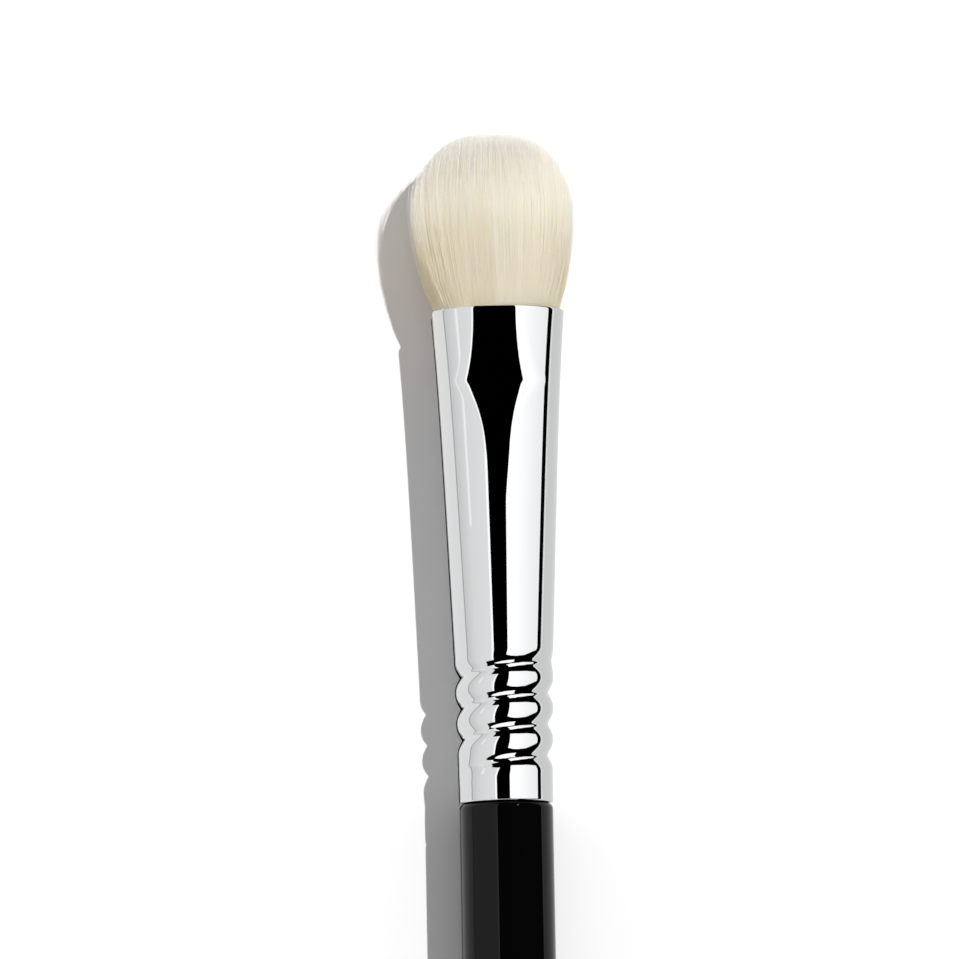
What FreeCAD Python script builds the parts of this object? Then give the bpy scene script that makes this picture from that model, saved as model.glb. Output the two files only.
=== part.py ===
# Eyeshadow brush lying on a table: a flat domed tuft of filaments, a plated tube ferrule and a turned handle.
# Lengths are in millimetres. The axis runs along Y, tuft at +Y. The tuft is wide along X and flat along Z.
# The origin is under the middle of the brush, on the table that its thickest piece rests on.
import FreeCAD
import Part

import math
import os

# Tuft: the free length of the filaments, from the ferrule's mouth to the domed tip
tuft_length = 15.4
tuft_width = 14.0
tuft_thickness = 8.4
tuft_widest_rise = 9.0
tuft_thickest_rise = 6.8
tuft_tip_share = 0.99
tuft_swell_power = 1.6
tuft_ring_count = 20

# Root: the bound length of the same filaments inside the ferrule, and the glue that their ends are cast into
root_depth = 14.0
root_glue_depth = 6.0

# Flexing seat: the rounded foot of the free tuft in its trough at the top of the root
flex_degrees = 25.0
flex_clearance = 0.15
flex_seat_radius = 1.0
flex_seat_width_share = 0.8

# Ferrule: a tube that is round at the handle and opens in width to an oval mouth
ferrule_length = 42.2
ferrule_wall = 0.35
mouth_width = 11.2
mouth_thickness = 8.44
mouth_flare_share = 0.1
mouth_flare_power = 5
collar_diameter = 8.0
bead_diameter = 8.44
cone_ring_step = 1.0

# Pressed flats: the height of the oval's cap that the tool halves, at the mouth and more at its crease
mouth_press = 0.4
mouth_press_start_share = 0.7
mouth_press_end_share = 0.9
crease_press = 1.33
crease_share = 0.786
crease_reach_share = 0.055

# Crimp: one rolled screw groove that grips the handle's tenon, with bulging beads between its turns
crimp_first_rise = 3.42
crimp_pitch = 2.66
crimp_groove_count = 4
crimp_depth = 0.45
crimp_root_radius = 0.12
crimp_lower_runout_turn_share = 0.22
crimp_upper_runout_turn_share = 0.34
crimp_fade_turn_share = 0.22
crimp_rings_per_pitch = 10

# Handle: lacquered wood with a tenon inside the ferrule, a parallel grip and a long taper to a round tail
handle_length = 120.0
handle_diameter = 8.0
handle_grip_length = 16.0
handle_tail_diameter = 4.6
shoulder_radius = 0.3
tenon_length = 14.5
tenon_chamfer = 0.5

# Glue: the least film between tenon and tube, what stays bare at its ends, and the bond line of glued faces
tenon_glue_film = 0.2
tenon_glue_end_gap = 0.6
bond_gap = 0.03

# Smooth skins: points around each ring, and the degree of the curves through them
ring_points = 24
skin_degree = 3

# Overrun of all cuts
cut_overrun = 1.0

# Places along the axis, and the height of the axis over the table
overall_length = handle_length + ferrule_length + tuft_length
tail_y = -overall_length / 2
seam_y = tail_y + handle_length
mouth_y = seam_y + ferrule_length
axis_z = max(bead_diameter, handle_diameter, tuft_thickness, mouth_thickness) / 2

# The crimp's upper end, and the tenon that fits the narrowest place in the crimped tube
crimp_last_turn = crimp_groove_count - 1 + crimp_upper_runout_turn_share
crimp_top_rise = crimp_first_rise + crimp_pitch * crimp_last_turn
narrowest_radius = min(collar_diameter, bead_diameter) / 2 - crimp_depth - ferrule_wall
tenon_radius = narrowest_radius - tenon_glue_film


def ease(share):
    """0 below 0, 1 above 1, and a smooth step between."""
    held = max(0.0, min(1.0, share))
    return held * held * (3 - 2 * held)


def mix(low, high, share):
    return low + (high - low) * share


def spread(low, high, step):
    """Evenly spaced heights from low to high, no further apart than step and enough for a smooth skin."""
    count = max(skin_degree, math.ceil((high - low) / step))
    return [mix(low, high, k / count) for k in range(count + 1)]


def pressed(height, top, press):
    """Height on an oval after its cap, down to press below the top, is pushed to half its height."""
    over = max(0.0, abs(height) - top + press)
    if over == 0:
        return height
    return math.copysign(abs(height) - over ** 2 / (2 * press), height)


def ring(y, half_width, half_thickness, press, dip_at):
    """Control points of an oval, set out by the share that an evenly turned cubic runs inside its points."""
    step = 2 * math.pi / ring_points
    outset = 3 / (2 + math.cos(step))
    points = []
    for k in range(ring_points):
        angle = k * step
        across = (half_width - dip_at(angle)) * math.cos(angle)
        through = (half_thickness - dip_at(angle)) * math.sin(angle)
        through = pressed(through, half_thickness, press)
        points.append(FreeCAD.Vector(across * outset, y, axis_z + through * outset))
    return points


def solid_through(rings):
    """Closed solid of one smooth skin over the rings, with a flat cap on the first and on the last."""
    poles = [list(line) for line in zip(*rings)]
    around_knots = list(range(ring_points + 1))
    along_knots = list(range(len(rings) - skin_degree + 1))
    around_mults = [1] * len(around_knots)
    along_mults = [skin_degree + 1] + [1] * (len(along_knots) - 2) + [skin_degree + 1]
    surface = Part.BSplineSurface()
    surface.buildFromPolesMultsKnots(
        poles, around_mults, along_mults, around_knots, along_knots, True, False, skin_degree, skin_degree
    )
    wall = surface.toShape()
    caps = [Part.Face(Part.Wire(edge)) for edge in wall.Edges if edge.isClosed()]
    shell = Part.makeShell([wall] + caps)
    shell.sewShape()
    solid = Part.makeSolid(shell)
    if solid.Volume < 0:
        solid.reverse()
    return solid


def crimp_dip(angle, rise):
    """How far the screw groove lowers the skin: deepest on its own line, nothing midway between two turns."""
    turn = math.remainder(angle - math.pi / 2, 2 * math.pi) / (2 * math.pi)
    phase = (rise - crimp_first_rise) / crimp_pitch + turn
    nearest = round(phase)
    half_pitch = math.hypot(crimp_pitch / 2, crimp_root_radius) - crimp_root_radius
    off_line = math.hypot((phase - nearest) * crimp_pitch, crimp_root_radius) - crimp_root_radius
    along = nearest - turn
    faded = ease((along + crimp_lower_runout_turn_share) / crimp_fade_turn_share)
    faded = faded * ease((crimp_last_turn - along) / crimp_fade_turn_share)
    return crimp_depth * faded * (1 - off_line / half_pitch) ** 2


def ferrule_ring(rise, inset):
    """Ring along the ferrule's outer skin at a height over the handle's shoulder, set in by inset."""
    cone_share = max(0.0, (rise - crimp_top_rise) / (ferrule_length - crimp_top_rise))
    flare = mix(cone_share, cone_share ** mouth_flare_power, mouth_flare_share)
    tube_radius = mix(collar_diameter, bead_diameter, min(1, rise / crimp_top_rise)) / 2
    half_width = mix(tube_radius, mouth_width / 2, flare)
    half_thickness = mix(tube_radius, mouth_thickness / 2, cone_share)
    opened = ease((cone_share - mouth_press_start_share) / (mouth_press_end_share - mouth_press_start_share))
    creased = math.exp(-abs(cone_share - crease_share) / crease_reach_share)
    return ring(
        seam_y + rise,
        half_width - inset,
        half_thickness - inset,
        mouth_press * opened + crease_press * creased,
        lambda angle: crimp_dip(angle, rise),
    )


def inside_ferrule(rises, inset):
    """Solid that follows the ferrule's skin over these heights, set in from it by inset."""
    return solid_through([ferrule_ring(rise, inset) for rise in rises])


def across_cylinder(radius, width):
    """Cylinder along X on the line that the tuft bends about."""
    start = FreeCAD.Vector(-width / 2, mouth_y + flex_clearance, axis_z)
    return Part.makeCylinder(radius, width, start, FreeCAD.Vector(1, 0, 0))


def ferrule():
    """Formed tube of one even wall: the crimp shows inside as a ridge."""
    plain_rise = crimp_top_rise + crimp_pitch / 2
    crimped = spread(0, plain_rise, crimp_pitch / crimp_rings_per_pitch)
    cone = spread(plain_rise, ferrule_length, cone_ring_step)
    bore = [-cut_overrun] + crimped + cone[1:] + [ferrule_length + cut_overrun]
    return inside_ferrule(crimped + cone[1:], 0).cut(inside_ferrule(bore, ferrule_wall))


def handle():
    """Turned profile spun about the axis: tenon, shoulder, grip, taper and tail."""
    grip_radius = handle_diameter / 2
    tail_radius = handle_tail_diameter / 2
    tenon_end = seam_y + tenon_length
    taper_start = seam_y - handle_grip_length
    tail_start = tail_y + tail_radius
    round_share = math.sqrt(1 / 2)

    taper_run = taper_start - tail_start
    taper_drop = grip_radius - tail_radius
    taper_radius = (taper_run ** 2 + taper_drop ** 2) / (2 * taper_drop)
    half_turn = math.asin(taper_run / taper_radius) / 2

    def at(y, radius):
        return FreeCAD.Vector(0, y, axis_z + radius)

    tenon_tip = at(tenon_end, 0)
    tenon_edge = at(tenon_end, tenon_radius - tenon_chamfer)
    tenon_side = at(tenon_end - tenon_chamfer, tenon_radius)
    tenon_root = at(seam_y, tenon_radius)
    shoulder_edge = at(seam_y, grip_radius - shoulder_radius)
    shoulder_mid = at(
        seam_y - shoulder_radius * (1 - round_share),
        grip_radius - shoulder_radius * (1 - round_share),
    )
    shoulder_side = at(seam_y - shoulder_radius, grip_radius)
    grip_end = at(taper_start, grip_radius)
    taper_mid = at(
        taper_start - taper_radius * math.sin(half_turn),
        grip_radius - taper_radius * (1 - math.cos(half_turn)),
    )
    tail_side = at(tail_start, tail_radius)
    tail_mid = at(tail_start - tail_radius * round_share, tail_radius * round_share)
    tail_tip = at(tail_y, 0)

    outline = [
        Part.LineSegment(tenon_tip, tenon_edge),
        Part.LineSegment(tenon_edge, tenon_side),
        Part.LineSegment(tenon_side, tenon_root),
        Part.LineSegment(tenon_root, shoulder_edge),
        Part.Arc(shoulder_edge, shoulder_mid, shoulder_side),
        Part.LineSegment(shoulder_side, grip_end),
        Part.Arc(grip_end, taper_mid, tail_side),
        Part.Arc(tail_side, tail_mid, tail_tip),
        Part.LineSegment(tail_tip, tenon_tip),
    ]
    profile = Part.Face(Part.Wire([curve.toShape() for curve in outline]))
    return profile.revolve(tenon_tip, FreeCAD.Vector(0, 1, 0), 360)


def tenon_glue():
    """Sleeve of adhesive that fills the crimped tube around the tenon."""
    low = tenon_glue_end_gap
    high = tenon_length - tenon_glue_end_gap
    rises = spread(low, high, crimp_pitch / crimp_rings_per_pitch)
    outside = inside_ferrule(rises, ferrule_wall + bond_gap)
    bore_start = FreeCAD.Vector(0, seam_y + low - cut_overrun, axis_z)
    bore_length = high - low + 2 * cut_overrun
    bore = Part.makeCylinder(tenon_radius + bond_gap, bore_length, bore_start, FreeCAD.Vector(0, 1, 0))
    return outside.cut(bore)


def root_glue():
    """Potting under the root, cast against the ferrule's inner wall."""
    top = ferrule_length - root_depth - bond_gap
    rises = spread(top - root_glue_depth, top, cone_ring_step)
    return inside_ferrule(rises, ferrule_wall + bond_gap)


def tuft_root():
    """Bound filaments up to the mouth, with the trough that the free tuft's foot turns in."""
    rises = spread(ferrule_length - root_depth, ferrule_length, cone_ring_step)
    bound = inside_ferrule(rises, ferrule_wall + bond_gap)
    foot_width = flex_seat_width_share * mouth_width
    trough = across_cylinder(flex_seat_radius + flex_clearance, foot_width + 2 * flex_clearance)
    return bound.cut(trough)


def swell(rise, full_rise, mouth_half, full_half):
    """Half width or thickness of the tuft: it opens from the mouth, and an ellipse closes it at the tip."""
    if rise < full_rise:
        return mix(full_half, mouth_half, (1 - rise / full_rise) ** tuft_swell_power)
    over = tuft_tip_share * (rise - full_rise) / (tuft_length - full_rise)
    return full_half * math.sqrt(1 - over ** 2)


def bristle_tuft():
    """Free length of the filaments as one body, relieved under both flat sides to bend both ways."""
    mouth_half_width = mouth_width / 2 - ferrule_wall
    mouth_half_thickness = mouth_thickness / 2 - ferrule_wall
    rings = []
    for k in range(tuft_ring_count):
        rise = tuft_length * math.sin(math.pi / 2 * k / (tuft_ring_count - 1))
        half_width = swell(rise, tuft_widest_rise, mouth_half_width, tuft_width / 2)
        half_thickness = swell(rise, tuft_thickest_rise, mouth_half_thickness, tuft_thickness / 2)
        rings.append(ring(mouth_y + rise, half_width, half_thickness, 0, lambda angle: 0))
    tuft = solid_through(rings)

    bend_y = mouth_y + flex_clearance
    side = tuft_thickness
    relief_rise = side * math.tan(math.radians(flex_degrees))
    left = -tuft_width
    relief = Part.makePolygon([
        FreeCAD.Vector(left, mouth_y - cut_overrun, axis_z - side),
        FreeCAD.Vector(left, mouth_y - cut_overrun, axis_z + side),
        FreeCAD.Vector(left, bend_y + relief_rise, axis_z + side),
        FreeCAD.Vector(left, bend_y, axis_z),
        FreeCAD.Vector(left, bend_y + relief_rise, axis_z - side),
        FreeCAD.Vector(left, mouth_y - cut_overrun, axis_z - side),
    ])
    cutter = Part.Face(relief).extrude(FreeCAD.Vector(2 * tuft_width, 0, 0))
    foot = across_cylinder(flex_seat_radius, flex_seat_width_share * mouth_width)
    return tuft.cut(cutter).fuse(foot)


pieces = {
    "handle": handle(),
    "tenon_glue": tenon_glue(),
    "ferrule": ferrule(),
    "root_glue": root_glue(),
    "tuft_root": tuft_root(),
    "bristle_tuft": bristle_tuft(),
}

os.makedirs("parts", exist_ok=True)
for name, shape in pieces.items():
    shape.exportStep(f"parts/{name}.step")
    print(name, shape.isValid(), len(shape.Solids), round(shape.Volume, 2))
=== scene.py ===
import math

import bmesh
import bpy
from mathutils import Matrix, Vector


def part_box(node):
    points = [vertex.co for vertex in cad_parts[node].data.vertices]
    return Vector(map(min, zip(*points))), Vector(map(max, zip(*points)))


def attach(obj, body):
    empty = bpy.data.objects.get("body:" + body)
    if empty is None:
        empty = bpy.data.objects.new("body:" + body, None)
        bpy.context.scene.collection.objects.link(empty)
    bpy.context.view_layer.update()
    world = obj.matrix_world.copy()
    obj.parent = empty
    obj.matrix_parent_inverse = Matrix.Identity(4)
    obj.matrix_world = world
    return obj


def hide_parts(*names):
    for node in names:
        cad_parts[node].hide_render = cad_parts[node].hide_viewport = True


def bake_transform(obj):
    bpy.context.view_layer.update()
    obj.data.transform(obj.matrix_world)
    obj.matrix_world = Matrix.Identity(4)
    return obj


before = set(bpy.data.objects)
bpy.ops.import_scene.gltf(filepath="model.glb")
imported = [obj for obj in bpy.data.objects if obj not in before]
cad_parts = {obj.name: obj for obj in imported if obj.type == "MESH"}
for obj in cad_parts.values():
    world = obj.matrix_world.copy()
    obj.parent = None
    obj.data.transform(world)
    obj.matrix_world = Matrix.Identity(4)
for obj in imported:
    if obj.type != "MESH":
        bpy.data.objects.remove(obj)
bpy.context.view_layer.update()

# Handle
# A hardwood rod turned on a lathe and dipped in black gloss lacquer. It is parallel where the fingers hold
# it, tapers on one long arc to a rounded tail, and ends at the top in a bare tenon that is glued into the
# ferrule.
handle_low, handle_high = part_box("handle")
ferrule_low, ferrule_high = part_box("ferrule")
seam_y = ferrule_low.y
axis_z = (handle_low.z + handle_high.z) / 2
handle_radius = (handle_high.x - handle_low.x) / 2
grip_length = 0.0160
tail_radius = 0.0023
shoulder_radius = 0.0005
tenon_radius = 0.0030
tenon_chamfer = 0.0005
handle_sides = 128
handle_arc_steps = 8
taper_steps = 40
join_distance = 1e-7
lacquer_black = (0.0015, 0.0015, 0.0017, 1.0)


def arc_points(centre, radius, start_degrees, end_degrees, steps):
    """Points (y, radius) of an arc in the turned profile; 0 degrees points along +Y and 90 outward."""
    points = []
    for k in range(steps + 1):
        angle = math.radians(start_degrees + (end_degrees - start_degrees) * k / steps)
        points.append((centre[0] + radius * math.cos(angle), centre[1] + radius * math.sin(angle)))
    return points


def add_object(name, mesh):
    """Links a mesh to the scene as an object at the origin."""
    made = bpy.data.objects.new(name, mesh)
    bpy.context.scene.collection.objects.link(made)
    return made


def face_outward(mesh):
    """Turns the faces of a closed mesh outward and shades them smooth."""
    work = bmesh.new()
    work.from_mesh(mesh)
    bmesh.ops.remove_doubles(work, verts=work.verts, dist=join_distance)
    bmesh.ops.recalc_face_normals(work, faces=work.faces)
    for face in work.faces:
        face.smooth = True
    work.to_mesh(mesh)
    work.free()


def turned(name, profile, sides):
    """A closed mesh spun about the brush's axis from (y, radius) points that start and end on the axis."""
    vertices = []
    faces = []
    for y, radius in profile:
        for k in range(sides):
            angle = 2 * math.pi * k / sides
            vertices.append((radius * math.cos(angle), y, axis_z + radius * math.sin(angle)))
    for row in range(len(profile) - 1):
        for k in range(sides):
            here = row * sides + k
            beside = row * sides + (k + 1) % sides
            faces.append((here, beside, beside + sides, here + sides))
    mesh = bpy.data.meshes.new(name)
    mesh.from_pydata(vertices, [], faces)
    face_outward(mesh)
    return mesh


taper_start = seam_y - grip_length
tail_start = handle_low.y + tail_radius
taper_run = taper_start - tail_start
taper_drop = handle_radius - tail_radius
taper_radius = (taper_run ** 2 + taper_drop ** 2) / (2 * taper_drop)
taper_turn = math.degrees(math.asin(taper_run / taper_radius))
shoulder_centre = (seam_y - shoulder_radius, handle_radius - shoulder_radius)

handle_profile = [
    (handle_high.y, 0.0),
    (handle_high.y, tenon_radius - tenon_chamfer),
    (handle_high.y - tenon_chamfer, tenon_radius),
    (seam_y, tenon_radius),
]
handle_profile += arc_points(shoulder_centre, shoulder_radius, 0, 90, handle_arc_steps)
handle_profile += arc_points(
    (taper_start, handle_radius - taper_radius), taper_radius, 90, 90 + taper_turn, taper_steps
)
handle_profile += arc_points((tail_start, 0.0), tail_radius, 90, 180, handle_arc_steps)

handle = add_object("handle_lacquered", turned("handle_lacquered", handle_profile, handle_sides))


def new_material(name):
    """A material with one Principled shader, and its node tree and shader."""
    material = bpy.data.materials.new(name)
    material.use_nodes = True
    tree = material.node_tree
    return material, tree, tree.nodes["Principled BSDF"]


def noise(tree, scale, detail, stretch=(1.0, 1.0, 1.0)):
    """A noise pattern over the object's own coordinates, in metres, drawn out by stretch."""
    place = tree.nodes.new("ShaderNodeTexCoord")
    mapping = tree.nodes.new("ShaderNodeMapping")
    pattern = tree.nodes.new("ShaderNodeTexNoise")
    mapping.inputs["Scale"].default_value = stretch
    pattern.inputs["Scale"].default_value = scale
    pattern.inputs["Detail"].default_value = detail
    tree.links.new(place.outputs["Object"], mapping.inputs["Vector"])
    tree.links.new(mapping.outputs["Vector"], pattern.inputs["Vector"])
    return pattern


def span(tree, value, low, high):
    """A 0 to 1 value spread between low and high."""
    spread = tree.nodes.new("ShaderNodeMapRange")
    spread.inputs["To Min"].default_value = low
    spread.inputs["To Max"].default_value = high
    tree.links.new(value, spread.inputs["Value"])
    return spread.outputs["Result"]


def bump(tree, shader, height, strength, distance):
    """Fine relief on a shader from a height pattern."""
    relief = tree.nodes.new("ShaderNodeBump")
    relief.inputs["Strength"].default_value = strength
    relief.inputs["Distance"].default_value = distance
    tree.links.new(height, relief.inputs["Height"])
    tree.links.new(relief.outputs["Normal"], shader.inputs["Normal"])


lacquer, tree, shader = new_material("black_lacquer")
shader.inputs["Base Color"].default_value = lacquer_black
shader.inputs["Specular IOR Level"].default_value = 0.17
haze = noise(tree, scale=900.0, detail=3.0)
haze_roughness = span(tree, haze.outputs["Fac"], low=0.012, high=0.035)
tree.links.new(haze_roughness, shader.inputs["Roughness"])
orange_peel = noise(tree, scale=450.0, detail=2.0)
bump(tree, shader, orange_peel.outputs["Fac"], strength=0.05, distance=0.00005)
handle.data.materials.append(lacquer)
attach(handle, "brush")
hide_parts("handle")


# Ferrule
# A drawn brass tube, pressed from round at the handle to a flat oval at its mouth and plated bright. One
# screw groove is rolled into its lower end after gluing, so that it grips the tenon, with bulging beads
# between the turns.
ferrule_length = ferrule_high.y - ferrule_low.y
ferrule_wall = 0.00035
collar_radius = 0.0040
bead_radius = 0.00422
rim_flare = 0.00012
mouth_half_width = (ferrule_high.x - ferrule_low.x) / 2 + rim_flare
mouth_half_thickness = 0.00422
mouth_flare_share = 0.172
mouth_flare_power = 5.0
mouth_press = 0.0004
mouth_press_start = 0.7
mouth_press_end = 0.9
crease_press = 0.00133
crease_share = 0.786
crease_reach = 0.055
crease_softness = 0.008
cone_press = 0.00007
cone_press_start = 0.4
cone_press_end = 0.6
least_press = 1e-8
rim_round = 0.00006
lower_round = 0.00018
crimp_first_rise = 0.00342
crimp_pitch = 0.00266
crimp_groove_count = 4
crimp_depth = 0.00045
crimp_root_radius = 0.00012
crimp_lower_runout = 0.22
crimp_upper_runout = 0.34
crimp_fade = 0.22
bore_crimp_start = 0.25
bore_crimp_end = 0.75
crimp_last_turn = crimp_groove_count - 1 + crimp_upper_runout
crimp_top_rise = crimp_first_rise + crimp_pitch * crimp_last_turn
ferrule_sides = 192
outer_rows = 324
rim_rows = 6
inner_rows = 40
end_rows = 1
row_crowding = 1.35
grid_half = 0.5
first_column_turn = 0.25
weld_distance = 1e-6
plate_colour = (0.66, 0.665, 0.67, 1.0)


class Field:
    """A value in a node tree that sums can be written with: each step adds one Math node."""

    def __init__(self, socket):
        self.socket = socket

    def step(self, operation, *others):
        tree = self.socket.id_data
        node = tree.nodes.new("ShaderNodeMath")
        node.operation = operation
        for slot, value in zip(node.inputs, (self, *others)):
            if isinstance(value, Field):
                tree.links.new(value.socket, slot)
            else:
                slot.default_value = value
        return Field(node.outputs[0])

    def __add__(self, other):
        return self.step("ADD", other)

    def __sub__(self, other):
        return self.step("SUBTRACT", other)

    def __mul__(self, other):
        return self.step("MULTIPLY", other)

    def __truediv__(self, other):
        return self.step("DIVIDE", other)

    def __pow__(self, other):
        return self.step("POWER", other)

    def clipped(self):
        """This value, held between 0 and 1."""
        return self.step("MINIMUM", 1.0).step("MAXIMUM", 0.0)

    def ease(self):
        """0 below 0, 1 above 1, and a smooth step between."""
        held = self.clipped()
        return held * held * (held * -2.0 + 3.0)

    def mix(self, low, high):
        """low where this is 0, high where it is 1; low is a Field or a number."""
        return self * (high - low) + low


def new_tree(name, inputs):
    """A geometry node tree with these named inputs, and a Field for each."""
    tree = bpy.data.node_groups.new(name, "GeometryNodeTree")
    tree.interface.new_socket("Geometry", in_out="OUTPUT", socket_type="NodeSocketGeometry")
    for label, kind in inputs.items():
        tree.interface.new_socket(label, in_out="INPUT", socket_type=kind)
    entry = tree.nodes.new("NodeGroupInput")
    return tree, {label: Field(entry.outputs[label]) for label in inputs}


def finish_tree(tree, geometry, material):
    """Closes a tree with smooth shading, Realize Instances, Set Material and the output."""
    smooth = tree.nodes.new("GeometryNodeSetShadeSmooth")
    realize = tree.nodes.new("GeometryNodeRealizeInstances")
    paint = tree.nodes.new("GeometryNodeSetMaterial")
    leave = tree.nodes.new("NodeGroupOutput")
    tree.links.new(geometry, smooth.inputs["Geometry"])
    tree.links.new(smooth.outputs["Geometry"], realize.inputs["Geometry"])
    tree.links.new(realize.outputs["Geometry"], paint.inputs["Geometry"])
    tree.links.new(material.socket, paint.inputs["Material"])
    tree.links.new(paint.outputs["Geometry"], leave.inputs["Geometry"])


def set_position(tree, geometry, x, y, z):
    """Moves each point of the geometry to x, y, z and gives the moved geometry."""
    place = tree.nodes.new("ShaderNodeCombineXYZ")
    for slot, value in zip(place.inputs, (x, y, z)):
        tree.links.new(value.socket, slot)
    move = tree.nodes.new("GeometryNodeSetPosition")
    tree.links.new(geometry, move.inputs["Geometry"])
    tree.links.new(place.outputs["Vector"], move.inputs["Position"])
    return move.outputs["Geometry"]


def made_by(tree, name, values):
    """An object at the origin whose plain mesh is what the tree makes with these input values."""
    made = add_object(name, bpy.data.meshes.new(name))
    modifier = made.modifiers.new("shape", "NODES")
    modifier.node_group = tree
    for socket in tree.interface.items_tree:
        if socket.in_out == "INPUT":
            modifier[socket.identifier] = values[socket.name]
    shown = made.evaluated_get(bpy.context.evaluated_depsgraph_get())
    mesh = bpy.data.meshes.new_from_object(shown)
    made.modifiers.remove(modifier)
    made.data = mesh
    return made


ferrule_tree, given = new_tree("pressed_and_crimped_tube", {
    "Length": "NodeSocketFloat",
    "Wall": "NodeSocketFloat",
    "Seam": "NodeSocketFloat",
    "Axis Height": "NodeSocketFloat",
    "Collar Radius": "NodeSocketFloat",
    "Bead Radius": "NodeSocketFloat",
    "Mouth Half Width": "NodeSocketFloat",
    "Mouth Half Thickness": "NodeSocketFloat",
    "First Groove": "NodeSocketFloat",
    "Groove Pitch": "NodeSocketFloat",
    "Groove Depth": "NodeSocketFloat",
    "Plating": "NodeSocketMaterial",
})
row_count = outer_rows + rim_rows + inner_rows + end_rows
grid = ferrule_tree.nodes.new("GeometryNodeMeshGrid")
grid.inputs["Vertices X"].default_value = ferrule_sides + 1
grid.inputs["Vertices Y"].default_value = row_count + 1
grid_place = ferrule_tree.nodes.new("ShaderNodeSeparateXYZ")
ferrule_tree.links.new(ferrule_tree.nodes.new("GeometryNodeInputPosition").outputs[0], grid_place.inputs[0])

# The grid's rows run up the outside, over the rim, down the bore and back across the lower end
turn = Field(grid_place.outputs["X"])
row = (Field(grid_place.outputs["Y"]) + grid_half) * row_count
outer_share = (row / outer_rows).clipped()
rim_share = ((row - outer_rows) / rim_rows).clipped()
inner_share = ((row - (outer_rows + rim_rows)) / inner_rows).clipped()
end_share = ((row - (outer_rows + rim_rows + inner_rows)) / end_rows).clipped()
rim_angle = rim_share * math.pi
rise = (given["Length"] - rim_round) * (outer_share ** row_crowding - inner_share)
rise = rise + rim_angle.step("SINE") * rim_round
crimped_share = (inner_share - bore_crimp_start) / (bore_crimp_end - bore_crimp_start)
crimped_bore = crimped_share.ease() * given["Groove Depth"]
inset = given["Wall"] * (rim_angle.step("COSINE") * -0.5 + 0.5) + crimped_bore

# The lower end is rounded in towards the handle
lower_share = (rise / -lower_round + 1.0).clipped()
tuck = (lower_share * lower_share * -1.0 + 1.0).step("SQRT") * -lower_round + lower_round
inset = inset * (end_share * -1.0 + 1.0) + tuck * (end_share - rim_share + 1.0)

# The screw groove: deepest on its own line, nothing midway between two turns, run out at both ends
phase = (rise - given["First Groove"]) / given["Groove Pitch"] + turn
nearest = phase.step("ROUND")
half_pitch = math.hypot(crimp_pitch / 2, crimp_root_radius) - crimp_root_radius
off_line = (phase - nearest) * given["Groove Pitch"]
off_line = (off_line * off_line + crimp_root_radius ** 2).step("SQRT") - crimp_root_radius
along = nearest - turn
run_in = ((along + crimp_lower_runout) / crimp_fade).ease()
run_out = ((along * -1.0 + crimp_last_turn) / crimp_fade).ease()
nearness = off_line / -half_pitch + 1.0
dip = given["Groove Depth"] * run_in * run_out * nearness * nearness * (rim_share * -1.0 + 1.0)

# The section: a circle at the collar that opens in width to an oval, with a flat pressed into front and back
cone_share = ((rise - crimp_top_rise) / (given["Length"] - crimp_top_rise)).clipped()
flare = cone_share * (1 - mouth_flare_share) + (cone_share ** mouth_flare_power) * mouth_flare_share
tube_radius = (rise / crimp_top_rise).ease().mix(given["Collar Radius"], given["Bead Radius"])
half_width = flare.mix(tube_radius, given["Mouth Half Width"]) - inset
half_thickness = cone_share.mix(tube_radius, given["Mouth Half Thickness"]) - inset
opened = ((cone_share - mouth_press_start) / (mouth_press_end - mouth_press_start)).ease()
off_crease = cone_share - crease_share
off_crease = (off_crease * off_crease + crease_softness ** 2).step("SQRT") - crease_softness
creased = (off_crease / -crease_reach).step("EXPONENT")
eased_in = ((cone_share - cone_press_start) / (cone_press_end - cone_press_start)).ease()
press = opened * (mouth_press - cone_press) + eased_in * cone_press + creased * crease_press + least_press
angle = (turn + first_column_turn) * (2 * math.pi)
across = (half_width - dip) * angle.step("COSINE")
through = (half_thickness - dip) * angle.step("SINE")
over = (through.step("ABSOLUTE") - half_thickness + press).step("MAXIMUM", 0.0)
through = through - through.step("SIGN") * over * over / (press * 2.0)
ferrule_skin = set_position(
    ferrule_tree,
    grid.outputs["Mesh"],
    across,
    rise + given["Seam"],
    through + given["Axis Height"],
)
weld = ferrule_tree.nodes.new("GeometryNodeMergeByDistance")
weld.inputs["Distance"].default_value = weld_distance
ferrule_tree.links.new(ferrule_skin, weld.inputs["Geometry"])
finish_tree(ferrule_tree, weld.outputs["Geometry"], given["Plating"])

plating, tree, shader = new_material("bright_plating")
shader.inputs["Base Color"].default_value = plate_colour
shader.inputs["Metallic"].default_value = 1.0
wipe_marks = noise(tree, scale=300.0, detail=4.0, stretch=(1.0, 0.15, 1.0))
wiped_roughness = span(tree, wipe_marks.outputs["Fac"], low=0.015, high=0.05)
tree.links.new(wiped_roughness, shader.inputs["Roughness"])
drawn_waviness = noise(tree, scale=240.0, detail=2.0, stretch=(1.0, 0.2, 1.0))
bump(tree, shader, drawn_waviness.outputs["Fac"], strength=0.04, distance=0.00004)

ferrule = made_by(ferrule_tree, "ferrule_plated", {
    "Length": ferrule_length,
    "Wall": ferrule_wall,
    "Seam": seam_y,
    "Axis Height": axis_z,
    "Collar Radius": collar_radius,
    "Bead Radius": bead_radius,
    "Mouth Half Width": mouth_half_width,
    "Mouth Half Thickness": mouth_half_thickness,
    "First Groove": crimp_first_rise,
    "Groove Pitch": crimp_pitch,
    "Groove Depth": crimp_depth,
    "Plating": plating,
})
face_outward(ferrule.data)
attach(ferrule, "brush")
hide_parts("ferrule")


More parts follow.
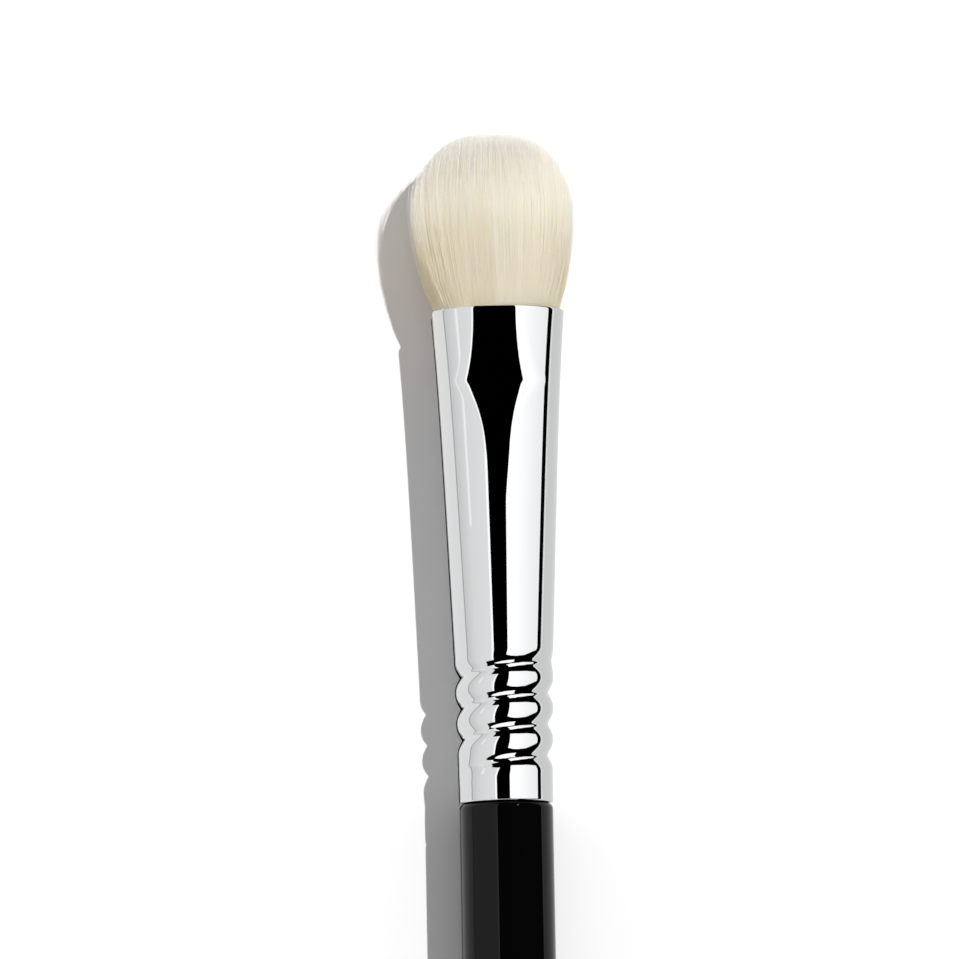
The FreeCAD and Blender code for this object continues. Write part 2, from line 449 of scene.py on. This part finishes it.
# Glue
# Two fillings of clear amber adhesive inside the ferrule, poured in and cured there. One holds the tenon,
# and the other is the potting that the cut ends of the filaments stand in.
glue_dark = (0.42, 0.24, 0.08, 1.0)
glue_light = (0.62, 0.42, 0.18, 1.0)

glue, tree, shader = new_material("cured_amber_glue")
flow = noise(tree, scale=500.0, detail=3.0)
blend_colour = tree.nodes.new("ShaderNodeMix")
blend_colour.data_type = "RGBA"
blend_colour.inputs["A"].default_value = glue_dark
blend_colour.inputs["B"].default_value = glue_light
tree.links.new(flow.outputs["Fac"], blend_colour.inputs["Factor"])
tree.links.new(blend_colour.outputs["Result"], shader.inputs["Base Color"])
shader.inputs["Roughness"].default_value = 0.25
bump(tree, shader, flow.outputs["Fac"], strength=0.2, distance=0.0001)
for node_name in ("tenon_glue", "root_glue"):
    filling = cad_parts[node_name]
    filling.data.materials.clear()
    filling.data.materials.append(glue)


# Tuft
# Thousands of fine tapered filaments, pale cream with whiter tips. They are gathered in a cup that domes
# their tips, pushed through the ferrule and glued at the root, and the pressed mouth fans them out into a
# flat paddle.
tuft_low, tuft_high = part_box("bristle_tuft")
root_low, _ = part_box("tuft_root")
mouth_y = ferrule_high.y
tip_overreach = 0.0003
tuft_length = tuft_high.y - mouth_y + tip_overreach
root_depth = mouth_y - root_low.y
tuft_half_width = (tuft_high.x - tuft_low.x) / 2
tuft_thickness_share = 0.88
tuft_half_thickness = (tuft_high.z - tuft_low.z) / 2 * tuft_thickness_share
widest_rise = 0.0090
thickest_rise = 0.0068
swell_power = 1.6
root_half_width = 0.0040
root_half_thickness = 0.0026
tip_squareness = 3.5
tip_draw_in = 0.20
tip_flatness = 0.93
side_shortening = 0.04
side_drift = 0.00021
left_bulge = 0.00016
left_bulge_rise = 0.0010
left_bulge_loss = 0.6
left_bulge_power = 3.0
mouth_squareness = 2.1
tuft_squareness = 2.35
squaring_rise = 0.0030
mouth_gap = 0.00004
whitening_start = 0.66
# The strands' colours are lighter than the packed heart's below: painted light that makes up for the shade
# the thin opaque strands cast on one another
strand_colours_lifted_for_shade = [
    (0.87, 0.80, 0.63, 1.0),
    (0.79, 0.715, 0.545, 1.0),
    (0.98, 0.975, 0.96, 1.0),
]
packed_colours = [
    (0.77, 0.71, 0.56, 1.0),
    (0.695, 0.63, 0.485, 1.0),
    (0.88, 0.885, 0.87, 1.0),
]
filament_glow_reach = (0.0019, 0.0017, 0.0012)
bundle_inputs = {
    "Mouth": "NodeSocketFloat",
    "Axis Height": "NodeSocketFloat",
    "Mouth Half Width": "NodeSocketFloat",
    "Mouth Half Thickness": "NodeSocketFloat",
    "Full Half Width": "NodeSocketFloat",
    "Full Half Thickness": "NodeSocketFloat",
    "Filament": "NodeSocketMaterial",
}


def bundle_halves(above, given):
    """Half width and half thickness of the bundle at a height over the mouth."""
    opening = (((above / widest_rise).clipped() * -1.0 + 1.0) ** swell_power) * -1.0 + 1.0
    past_widest = ((above - widest_rise) / (tuft_length - widest_rise)).clipped()
    half_width = opening.mix(given["Mouth Half Width"], given["Full Half Width"])
    half_width = half_width * (past_widest * past_widest * -tip_draw_in + 1.0)
    filling = (((above / thickest_rise).clipped() * -1.0 + 1.0) ** swell_power) * -1.0 + 1.0
    past_thickest = ((above - thickest_rise) / (tuft_length - thickest_rise)).clipped() * tip_flatness
    half_thickness = filling.mix(given["Mouth Half Thickness"], given["Full Half Thickness"])
    half_thickness = half_thickness * (past_thickest * past_thickest * -1.0 + 1.0).step("SQRT")
    return half_width, half_thickness


def leftward(across, above):
    """How far a place across is carried to the left, by the bundle's lean and by its bulge at the left."""
    lean = (above / widest_rise).ease()
    left = (across * -1.0).step("MAXIMUM", 0.0)
    bulge = left ** left_bulge_power * (above / left_bulge_rise).ease() * (lean * -left_bulge_loss + 1.0)
    return lean * side_drift + bulge * left_bulge


def squared_off(angle, squareness):
    """Places across and through, -1 to 1, at an angle round an oval: 2 is a circle and more is squarer."""
    cosine = angle.step("COSINE")
    sine = angle.step("SINE")
    size = cosine.step("ABSOLUTE") ** squareness + sine.step("ABSOLUTE") ** squareness
    size = size ** (squareness ** -1.0)
    return cosine / size, sine / size


def squareness_at(above):
    """The bundle is almost as round as the ferrule at the mouth and squares off to a paddle above it."""
    return (above / squaring_rise).ease().mix(mouth_squareness, tuft_squareness)


# Strands in locks: a tapered filament that is copied, placed in the bundle and swept
strand_points = 8
strand_sides = 3
strand_radius = 0.000016
strand_taper_start = 0.5
strand_tip_share = 0.3
length_scatter = 0.0007
length_scatter_power = 1.5
clump_size = 4.0
clump_shift = 0.00007
loose_side_start = 0.3
loose_side_run = 0.5
loose_side_gain = 4.0
strand_shift = 0.00006
strand_lean = 0.0005
strand_lean_power = 3.0
least_bow_share = 0.2
draws_per_seed = 20.0

tuft_tree, given = new_tree("filament_lock", {
    **bundle_inputs,
    "Strands": "NodeSocketInt",
    "Seed": "NodeSocketInt",
    "Root Depth": "NodeSocketFloat",
    "Strand Radius": "NodeSocketFloat",
    "Clump Shift": "NodeSocketFloat",
    "Inner Radius": "NodeSocketFloat",
    "Outer Radius": "NodeSocketFloat",
    "From Angle": "NodeSocketFloat",
    "To Angle": "NodeSocketFloat",
    "Bow": "NodeSocketFloat",
})
straight = tuft_tree.nodes.new("GeometryNodeCurvePrimitiveLine")
pieces_of_strand = tuft_tree.nodes.new("GeometryNodeResampleCurve")
pieces_of_strand.inputs["Count"].default_value = strand_points
copies = tuft_tree.nodes.new("GeometryNodeDuplicateElements")
copies.domain = "SPLINE"
tuft_tree.links.new(straight.outputs["Curve"], pieces_of_strand.inputs["Curve"])
tuft_tree.links.new(pieces_of_strand.outputs["Curve"], copies.inputs["Geometry"])
tuft_tree.links.new(given["Strands"].socket, copies.inputs["Amount"])
strand_share = Field(tuft_tree.nodes.new("GeometryNodeSplineParameter").outputs["Factor"])
strand_number = tuft_tree.nodes.new("GeometryNodeCurveOfPoint").outputs["Curve Index"]


def chance(low, high, draw):
    """A number between low and high for each strand; draw tells one use from another."""
    pick = tuft_tree.nodes.new("FunctionNodeRandomValue")
    pick.data_type = "FLOAT"
    # Sockets share their names here: 2 and 3 limit a plain number, and output 1 gives it
    pick.inputs[2].default_value = low
    pick.inputs[3].default_value = high
    tuft_tree.links.new(strand_number, pick.inputs["ID"])
    tuft_tree.links.new((given["Seed"] * draws_per_seed + float(draw)).socket, pick.inputs["Seed"])
    return Field(pick.outputs[1])


# Each strand has a place in the round bundle, from -1 to 1 across and through it
inner_area = given["Inner Radius"] * given["Inner Radius"]
outer_area = given["Outer Radius"] * given["Outer Radius"]
bundle_radius = chance(0.0, 1.0, draw=0).mix(inner_area, outer_area).step("SQRT")
angle_share = (Field(strand_number) + chance(0.0, 1.0, draw=1)) / given["Strands"]
bundle_angle = angle_share.mix(given["From Angle"], given["To Angle"])
across, through = squared_off(bundle_angle, tuft_squareness)
across = across * bundle_radius
through = through * bundle_radius

# Its first stretch is bound in the ferrule, and the rest reaches up to the dome
strand_steps = strand_points - 1
foot = (strand_share * strand_steps).clipped()
free = ((strand_share - 1 / strand_steps) * (strand_steps / (strand_steps - 1))).clipped()
dome = (across.step("ABSOLUTE") ** tip_squareness * -1.0 + 1.0).step("SQRT")
reach = dome * (tuft_length - widest_rise) + widest_rise
reach = reach * (through * through * -side_shortening + 1.0)
reach = reach - chance(0.0, 1.0, draw=2) ** length_scatter_power * length_scatter
rise = (foot - 1.0) * given["Root Depth"] + free * reach

# The bundle's half width and half thickness at that height
bound = foot * -1.0 + 1.0
above = rise.step("MAXIMUM", 0.0)
half_width, half_thickness = bundle_halves(above, given)
half_width = half_width + bound * (given["Mouth Half Width"] * -1.0 + root_half_width)
half_thickness = half_thickness + bound * (given["Mouth Half Thickness"] * -1.0 + root_half_thickness)

# Neighbours lean together in clumps, looser on the left, and each strand strays a little by itself
clump_place = tuft_tree.nodes.new("ShaderNodeCombineXYZ")
clump_noise = tuft_tree.nodes.new("ShaderNodeTexNoise")
clump_noise.inputs["Scale"].default_value = clump_size
clump_split = tuft_tree.nodes.new("ShaderNodeSeparateXYZ")
tuft_tree.links.new(across.socket, clump_place.inputs["X"])
tuft_tree.links.new(through.socket, clump_place.inputs["Y"])
tuft_tree.links.new(clump_place.outputs["Vector"], clump_noise.inputs["Vector"])
tuft_tree.links.new(clump_noise.outputs["Color"], clump_split.inputs["Vector"])
looseness = ((across * -1.0 - loose_side_start) / loose_side_run).ease() * loose_side_gain + 1.0
lean = free * free * given["Clump Shift"] * looseness
stray = free * free * strand_shift
bow = (free * math.pi).step("SINE") * chance(least_bow_share, 1.0, draw=7) * given["Bow"]
across_here, through_here = squared_off(bundle_angle, squareness_at(above))
x = across_here * bundle_radius * (half_width + bow) - leftward(across, above)
x = x + chance(-1.0, 1.0, draw=6) ** strand_lean_power * free * strand_lean
x = x + (Field(clump_split.outputs["X"]) - 0.5) * 2.0 * lean + chance(-1.0, 1.0, draw=3) * stray
z = through_here * bundle_radius * (half_thickness + bow)
z = z + (Field(clump_split.outputs["Y"]) - 0.5) * 2.0 * lean + chance(-1.0, 1.0, draw=4) * stray
strands = set_position(
    tuft_tree, copies.outputs["Geometry"], x, rise + given["Mouth"], z + given["Axis Height"]
)

# A filament keeps its thickness for most of its length and tapers to the tip
taper_share = ((free - strand_taper_start) / (1.0 - strand_taper_start)).ease()
taper = taper_share * (strand_tip_share - 1.0) + 1.0
thickness = tuft_tree.nodes.new("GeometryNodeSetCurveRadius")
tuft_tree.links.new(strands, thickness.inputs["Curve"])
tuft_tree.links.new((taper * given["Strand Radius"]).socket, thickness.inputs["Radius"])


def keep_tip_share(tree, geometry, value):
    """Stores how near each point is to the tips, from 0 to 1, for the material to read."""
    store = tree.nodes.new("GeometryNodeStoreNamedAttribute")
    store.inputs["Name"].default_value = "tip_share"
    tree.links.new(geometry, store.inputs["Geometry"])
    tree.links.new(value.socket, store.inputs["Value"])
    return store.outputs["Geometry"]


strands = keep_tip_share(tuft_tree, thickness.outputs["Curve"], free)
section = tuft_tree.nodes.new("GeometryNodeCurvePrimitiveCircle")
section.inputs["Resolution"].default_value = strand_sides
section.inputs["Radius"].default_value = 1.0
sweep = tuft_tree.nodes.new("GeometryNodeCurveToMesh")
sweep.inputs["Fill Caps"].default_value = True
tuft_tree.links.new(strands, sweep.inputs["Curve"])
tuft_tree.links.new(section.outputs["Curve"], sweep.inputs["Profile Curve"])
radius = tuft_tree.nodes.new("GeometryNodeInputRadius")
tuft_tree.links.new(radius.outputs["Radius"], sweep.inputs["Scale"])
finish_tree(tuft_tree, sweep.outputs["Mesh"], given["Filament"])


def filament_material(name, colours):
    """Filament with fine streaks along it, and its shader.
    The colours are those at the mouth, where the filament starts to whiten, and at its tip."""
    material, tree, shader = new_material(name)
    tip_share = tree.nodes.new("ShaderNodeAttribute")
    tip_share.attribute_name = "tip_share"
    tint = tree.nodes.new("ShaderNodeValToRGB")
    tint.color_ramp.elements.new(whitening_start)
    for stop, colour in zip(tint.color_ramp.elements, colours):
        stop.color = colour
    tree.links.new(tip_share.outputs["Fac"], tint.inputs["Fac"])
    shade = tree.nodes.new("ShaderNodeHueSaturation")
    streaks = noise(tree, scale=2600.0, detail=3.0, stretch=(1.0, 0.03, 1.0))
    streak_value = span(tree, streaks.outputs["Fac"], low=0.93, high=1.07)
    tree.links.new(streak_value, shade.inputs["Value"])
    bump(tree, shader, streaks.outputs["Fac"], strength=0.12, distance=0.00004)
    tree.links.new(tint.outputs["Color"], shade.inputs["Color"])
    tree.links.new(shade.outputs["Color"], shader.inputs["Base Color"])
    shader.inputs["Roughness"].default_value = 0.5
    shader.inputs["Specular IOR Level"].default_value = 0.3
    return material, shader


filament, _ = filament_material("cream_filament", strand_colours_lifted_for_shade)
bundle_values = {
    "Mouth": mouth_y,
    "Axis Height": axis_z,
    "Mouth Half Width": mouth_half_width - ferrule_wall - mouth_gap,
    "Mouth Half Thickness": mouth_half_thickness - ferrule_wall - mouth_press / 2 - mouth_gap,
    "Full Half Width": tuft_half_width,
    "Full Half Thickness": tuft_half_thickness,
    "Filament": filament,
}

# One of the lamps further down reaches the hair alone
hair_only = bpy.data.collections.new("hair_only")


def bend_with_tuft(made):
    """Puts a piece among the hair that one lamp reaches alone, fixes its place into its mesh, and hides the
    solid tuft and its root.
    """
    hair_only.objects.link(made)
    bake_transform(made)
    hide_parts("bristle_tuft", "tuft_root")


def lock(name, seed, strands, radii, degrees=(0.0, 360.0), bow=0.0, radius=strand_radius):
    """One piece of the tuft: strands that stand between two radii and two angles of the round bundle."""
    made = made_by(tuft_tree, name, {
        **bundle_values,
        "Strands": strands,
        "Seed": seed,
        "Root Depth": root_depth,
        "Strand Radius": radius,
        "Clump Shift": clump_shift,
        "Inner Radius": radii[0],
        "Outer Radius": radii[1],
        "From Angle": math.radians(degrees[0]),
        "To Angle": math.radians(degrees[1]),
        "Bow": bow,
    })
    bend_with_tuft(made)


# A thin coat all round, the strands whose tips make the dome, and loose hairs, more of them at the left
coat_strands = 300
coat_radii = (0.99, 1.0)
coat_strand_radius = 0.000012
dome_strands = 3200
dome_radii = (0.3, 0.985)
stray_hairs = 50
stray_radii = (0.98, 1.0)
stray_bow = 0.0004
left_strands = 46
left_radii = (0.995, 1.008)
left_degrees = (92.0, 188.0)
left_strand_radius = 0.000022
loop_radii = (1.0, 1.0)
loop_degrees = (174.0, 174.0)
loop_bow = 0.0011
loop_strand_radius = 0.000026

lock("tuft_coat_1", 1, coat_strands, coat_radii, radius=coat_strand_radius)
lock("tuft_coat_2", 2, coat_strands, coat_radii, radius=coat_strand_radius)
lock("tuft_tip_strands", 3, dome_strands, dome_radii)
lock("tuft_stray_hairs", 4, stray_hairs, stray_radii, bow=stray_bow)
lock("tuft_left_strands", 5, left_strands, left_radii, left_degrees, radius=left_strand_radius)
lock("tuft_loop_hair", 6, 1, loop_radii, loop_degrees, bow=loop_bow, radius=loop_strand_radius)

# The packed middle of the bundle, which shows between the outer strands as one soft cream mass
heart_width_share = 0.97
heart_thickness_share = 0.985
heart_length_share = 0.98
heart_depth = 0.0002
heart_sides = 96
heart_rows = 80

heart_tree, given = new_tree("packed_heart", bundle_inputs)
grid = heart_tree.nodes.new("GeometryNodeMeshGrid")
grid.inputs["Vertices X"].default_value = heart_sides + 1
grid.inputs["Vertices Y"].default_value = heart_rows + 1
grid_place = heart_tree.nodes.new("ShaderNodeSeparateXYZ")
heart_tree.links.new(heart_tree.nodes.new("GeometryNodeInputPosition").outputs[0], grid_place.inputs[0])
angle = Field(grid_place.outputs["X"]) * (2 * math.pi)
row_share = Field(grid_place.outputs["Y"]) + grid_half
rounding = (row_share * (math.pi / 2)).step("SINE")
heart_rise = rounding * (tuft_length * heart_length_share + heart_depth) - heart_depth
above = heart_rise.step("MAXIMUM", 0.0)
half_width, half_thickness = bundle_halves(above, given)
past_widest = ((above - widest_rise) / (tuft_length * heart_length_share - widest_rise)).clipped()
closing = past_widest * past_widest * -1.0 + 1.0
foot_closing = (row_share * heart_rows).clipped()
across, through = squared_off(angle, squareness_at(above))
across = across * foot_closing * closing ** (1 / tip_squareness)
through = through * foot_closing * closing ** 0.5
heart_skin = set_position(
    heart_tree,
    grid.outputs["Mesh"],
    across * half_width * heart_width_share - leftward(across, above),
    heart_rise + given["Mouth"],
    through * half_thickness * heart_thickness_share + given["Axis Height"],
)
weld = heart_tree.nodes.new("GeometryNodeMergeByDistance")
weld.inputs["Distance"].default_value = weld_distance
heart_tree.links.new(heart_skin, weld.inputs["Geometry"])
heart_skin = keep_tip_share(heart_tree, weld.outputs["Geometry"], (above / tuft_length).clipped())
finish_tree(heart_tree, heart_skin, given["Filament"])
packed, packed_shader = filament_material("packed_filament", packed_colours)
packed_shader.inputs["Subsurface Weight"].default_value = 1.0
packed_shader.inputs["Subsurface Radius"].default_value = filament_glow_reach
packed_shader.inputs["Subsurface Scale"].default_value = 1.0
heart = made_by(heart_tree, "tuft_heart", {**bundle_values, "Filament": packed})
face_outward(heart.data)
bend_with_tuft(heart)


# Table and light
# A white table, a hard lamp from the upper right and an even fill. Panels and cards stand round the brush
# for plating and lacquer to mirror, and only mirror rays see them. Of two more lamps, one lights only the
# hair and one only the table.
table_half = 3.0
table_white = (0.98, 0.98, 0.98, 1.0)
white = (1.0, 1.0, 1.0, 1.0)
black = (0.0, 0.0, 0.0, 1.0)


def add_stage(name, vertices, faces, material):
    """A mesh that belongs to the stage and not to the brush."""
    mesh = bpy.data.meshes.new(name)
    mesh.from_pydata(vertices, [], faces)
    mesh.materials.append(material)
    made = add_object(name, mesh)
    return made


def add_card(name, corners, material):
    """A flat stage piece with four corners."""
    return add_stage(name, corners, [(0, 1, 2, 3)], material)


table_paint, tree, shader = new_material("white_table")
shader.inputs["Base Color"].default_value = table_white
shader.inputs["Roughness"].default_value = 1.0
shader.inputs["Specular IOR Level"].default_value = 0.0
table_corners = [
    (-table_half, -table_half, 0.0),
    (table_half, -table_half, 0.0),
    (table_half, table_half, 0.0),
    (-table_half, table_half, 0.0),
]
table = add_card("table", table_corners, table_paint)

# Glowing panels on arcs round the brush's axis
panel_steps = 48
far_panel = 0.30
near_panel = 0.10
side_low = -0.35
side_high = 0.45
left_lamp_lead = 0.002
left_lamp_low = 0.064
left_lamp_high = 0.110
left_high_low = -0.22
left_high_high = 0.36
front_card_low = -0.62


def mirror_only(made):
    """Leaves a stage object to mirror rays alone."""
    made.visible_camera = False
    made.visible_diffuse = False
    made.visible_transmission = False
    made.visible_volume_scatter = False
    made.visible_shadow = False


def between(stops, degrees):
    """The value at an angle, on straight lines between (degrees, value) stops, or a plain number as it is."""
    if isinstance(stops, float):
        return stops
    for (low, low_value), (high, high_value) in zip(stops, stops[1:]):
        share = (degrees - low) / (high - low)
        if share <= 1:
            break
    return low_value + (high_value - low_value) * share


def panel(name, distance, low_ends, high_ends, stops):
    """A glowing arc that only mirror rays see; degrees count from overhead towards +X.
    stops are (degrees, brightness) pairs, and low_ends and high_ends give the y of its two edges."""
    from_degrees = stops[0][0]
    to_degrees = stops[-1][0]
    material = bpy.data.materials.new(name)
    material.use_nodes = True
    tree = material.node_tree
    tree.nodes.remove(tree.nodes["Principled BSDF"])
    glow = tree.nodes.new("ShaderNodeEmission")
    place = tree.nodes.new("ShaderNodeUVMap")
    split = tree.nodes.new("ShaderNodeSeparateXYZ")
    curve = tree.nodes.new("ShaderNodeFloatCurve")
    brightest = max(level for _, level in stops)
    line = curve.mapping.curves[0]
    shares = []
    for degrees, level in stops:
        shares.append(((degrees - from_degrees) / (to_degrees - from_degrees), level / brightest))
    line.points[0].location = shares[0]
    line.points[1].location = shares[-1]
    for share, level in shares[1:-1]:
        line.points.new(share, level)
    for point in line.points:
        point.handle_type = "VECTOR"
    curve.mapping.update()
    scale = tree.nodes.new("ShaderNodeMath")
    scale.operation = "MULTIPLY"
    scale.inputs[1].default_value = brightest
    tree.links.new(place.outputs["UV"], split.inputs["Vector"])
    tree.links.new(split.outputs["X"], curve.inputs["Value"])
    tree.links.new(curve.outputs["Value"], scale.inputs[0])
    tree.links.new(scale.outputs["Value"], glow.inputs["Strength"])
    tree.links.new(glow.outputs["Emission"], tree.nodes["Material Output"].inputs["Surface"])
    vertices = []
    faces = []
    for k in range(panel_steps + 1):
        degrees = from_degrees + (to_degrees - from_degrees) * k / panel_steps
        angle = math.radians(degrees)
        for y in (between(low_ends, degrees), between(high_ends, degrees)):
            vertices.append((distance * math.sin(angle), y, axis_z + distance * math.cos(angle)))
    for k in range(panel_steps):
        faces.append((2 * k, 2 * k + 1, 2 * k + 3, 2 * k + 2))
    made = add_stage(name, vertices, faces, material)
    layer = made.data.uv_layers.new(name="share")
    for loop in made.data.loops:
        layer.data[loop.index].uv = ((loop.vertex_index // 2) / panel_steps, loop.vertex_index % 2)
    mirror_only(made)
    return made


panel("left_panel_low", near_panel, side_low, side_high, [
    (-44.0, 1.04),
    (-63.0, 1.00),
    (-88.0, 0.83),
])
panel("left_panel_foot", near_panel, side_low, side_high, [
    (-88.0, 0.55),
    (-91.5, 0.55),
])
panel("left_lamp", near_panel - left_lamp_lead, left_lamp_low, left_lamp_high, [
    (-57.0, 1.06),
    (-60.0, 1.32),
    (-64.0, 1.02),
])
panel("left_panel_high", far_panel, left_high_low, left_high_high, [
    (-21.7, 1.55),
    (-25.0, 1.5),
    (-27.0, 1.07),
    (-45.0, 1.04),
])
right_low = [
    (9.8, -0.08),
    (16.0, -0.11),
    (25.0, -0.14),
    (39.0, -0.154),
    (60.0, -0.13),
    (75.0, -0.05),
    (89.0, 0.02),
]
right_high = [
    (9.8, 0.42),
    (16.0, 0.42),
    (25.0, 0.40),
    (39.0, 0.36),
    (60.0, 0.31),
    (75.0, 0.25),
    (89.0, 0.20),
]
right_panel = panel("right_panel", far_panel, right_low, right_high, [
    (9.8, 1.6),
    (26.5, 1.52),
    (40.0, 1.46),
    (55.0, 1.37),
    (76.0, 1.27),
    (89.0, 1.27),
])
front_card_high = [
    (-45.0, -0.36),
    (42.0, -0.28),
]
front_card = panel("front_card", far_panel, front_card_low, front_card_high, [
    (-45.0, 1.5),
    (42.0, 1.6),
])

# The handle doesn't mirror these two: only the ferrule sees them
plated_only = bpy.data.collections.new("plated_only")
plated_only.objects.link(ferrule)
right_panel.light_linking.receiver_collection = plated_only
front_card.light_linking.receiver_collection = plated_only

# A black flag beside the brush and a black strip under its left edge give the plating its dark outlines. The
# strip is painted shade in the mirror, in place of the shaded table under that edge. A card on the table that
# glows an even grey gives the plating's right side a painted grey reflection
flag_x = 0.036
flag_low = 0.0035
flag_high = 0.0103
card_lift = 0.0002
floor_card_x = 0.0045
floor_card_low = -0.1
floor_card_high = 0.2
floor_card_glow = 0.86
strip_foot = (-0.0058, -0.0034)
strip_mouth = (-0.0074, -0.0048)

flag_black, tree, shader = new_material("flag_black")
shader.inputs["Base Color"].default_value = black
shader.inputs["Specular IOR Level"].default_value = 0.0
flag_corners = [
    (flag_x, side_low, flag_low),
    (flag_x, side_high, flag_low),
    (flag_x, side_high, flag_high),
    (flag_x, side_low, flag_high),
]
mirror_only(add_card("right_flag", flag_corners, flag_black))
# Painted reflection: a card that glows an even grey, seen only in the plating's mirror, in place of the white
# table on the right
painted_grey_reflection, tree, shader = new_material("painted_grey_reflection")
shader.inputs["Base Color"].default_value = black
shader.inputs["Specular IOR Level"].default_value = 0.0
shader.inputs["Emission Color"].default_value = white
shader.inputs["Emission Strength"].default_value = floor_card_glow
floor_corners = [
    (floor_card_x, floor_card_low, card_lift),
    (flag_x, floor_card_low, card_lift),
    (flag_x, floor_card_high, card_lift),
    (floor_card_x, floor_card_high, card_lift),
]
mirror_only(add_card("painted_reflection_right", floor_corners, painted_grey_reflection))
# Painted shade: a black strip under the brush's left edge, seen only in the plating's mirror
strip_corners = [
    (strip_foot[0], seam_y, card_lift),
    (strip_foot[1], seam_y, card_lift),
    (strip_mouth[1], mouth_y, card_lift),
    (strip_mouth[0], mouth_y, card_lift),
]
mirror_only(add_card("left_painted_shade_strip", strip_corners, flag_black))

# The fill comes from all round, is white behind the table and isn't mirrored
fill_strength = 0.37

world = bpy.data.worlds.new("studio")
world.use_nodes = True
bpy.context.scene.world = world
tree = world.node_tree
sky = tree.nodes["Background"]
sky.inputs["Color"].default_value = white
rays = tree.nodes.new("ShaderNodeLightPath")
seen = Field(rays.outputs["Is Camera Ray"])
mirrored = Field(rays.outputs["Is Glossy Ray"])
sky_level = seen + (seen * -1.0 + 1.0) * (mirrored * -1.0 + 1.0) * fill_strength
tree.links.new(sky_level.socket, sky.inputs["Strength"])

# The hard lamp that throws the shadow to the lower left
key_strength = 2.68
key_angle = math.radians(0.7)
key_from = (0.56, 0.47, 1.0)


def add_lamp(name, kind, strength):
    """A lamp of this kind and strength."""
    lamp = bpy.data.objects.new(name, bpy.data.lights.new(name, kind))
    lamp.data.energy = strength
    bpy.context.scene.collection.objects.link(lamp)
    return lamp


def shine_from(lamp, direction):
    """Turns a lamp so that its light comes from this direction."""
    lamp.rotation_mode = "QUATERNION"
    lamp.rotation_quaternion = Vector(direction).to_track_quat("Z", "Y")


key_lamp = add_lamp("key_lamp", "SUN", key_strength)
key_lamp.data.angle = key_angle
shine_from(key_lamp, key_from)

# Light that the hair passes on inside itself to its left and its foot, as a soft lamp on the hair alone
hair_side_strength = 2.5
hair_side_angle = math.radians(40.0)
hair_side_from = (-0.50, -0.85, 0.30)

hair_side = add_lamp("hair_side", "SUN", hair_side_strength)
hair_side.data.angle = hair_side_angle
shine_from(hair_side, hair_side_from)
hair_side.light_linking.receiver_collection = hair_only
hair_side.light_linking.blocker_collection = hair_only

# The pale hair lets some light through, which warms its shadow on the table
hair_glow_strength = 0.00006
hair_glow_colour = (1.0, 0.38, 0.03)
hair_glow_width = 0.016
hair_glow_length = 0.018
hair_glow_x = -0.0085
hair_glow_rise = 0.0035
hair_glow_height = 0.0080

hair_glow = add_lamp("hair_glow", "AREA", hair_glow_strength)
hair_glow.data.shape = "RECTANGLE"
hair_glow.data.size = hair_glow_width
hair_glow.data.size_y = hair_glow_length
hair_glow.data.color = hair_glow_colour
hair_glow.location = (hair_glow_x, mouth_y + hair_glow_rise, hair_glow_height)
hair_glow.visible_camera = False
hair_glow.visible_glossy = False
table_only = bpy.data.collections.new("table_only")
table_only.objects.link(table)
hair_glow.light_linking.receiver_collection = table_only


# Camera
# A long lens almost straight above the table, leaned a little towards the handle and turned by a degree.
camera_distance = 0.600
camera_lean = math.radians(7.256)
camera_roll = math.radians(-1.039)
camera_lens = 263.63
camera_target = Vector((-0.001718, 0.058975, 0.00422))

look = Vector((0.0, math.sin(camera_lean), -math.cos(camera_lean)))
level_up = Vector((0.0, math.cos(camera_lean), math.sin(camera_lean)))
level_right = Vector((1.0, 0.0, 0.0))
right = level_right * math.cos(camera_roll) + level_up * math.sin(camera_roll)
up = level_up * math.cos(camera_roll) - level_right * math.sin(camera_roll)
camera_data = bpy.data.cameras.new("camera")
camera_data.lens = camera_lens
camera_data.sensor_width = 36.0
camera_data.clip_start = 0.01
camera_data.clip_end = 20.0
camera = bpy.data.objects.new("camera", camera_data)
bpy.context.scene.collection.objects.link(camera)
camera.matrix_world = Matrix.Translation(camera_target - look * camera_distance) @ Matrix(
    (right, up, -look)
).transposed().to_4x4()
bpy.context.scene.camera = camera
bpy.context.scene.view_settings.view_transform = "Standard"
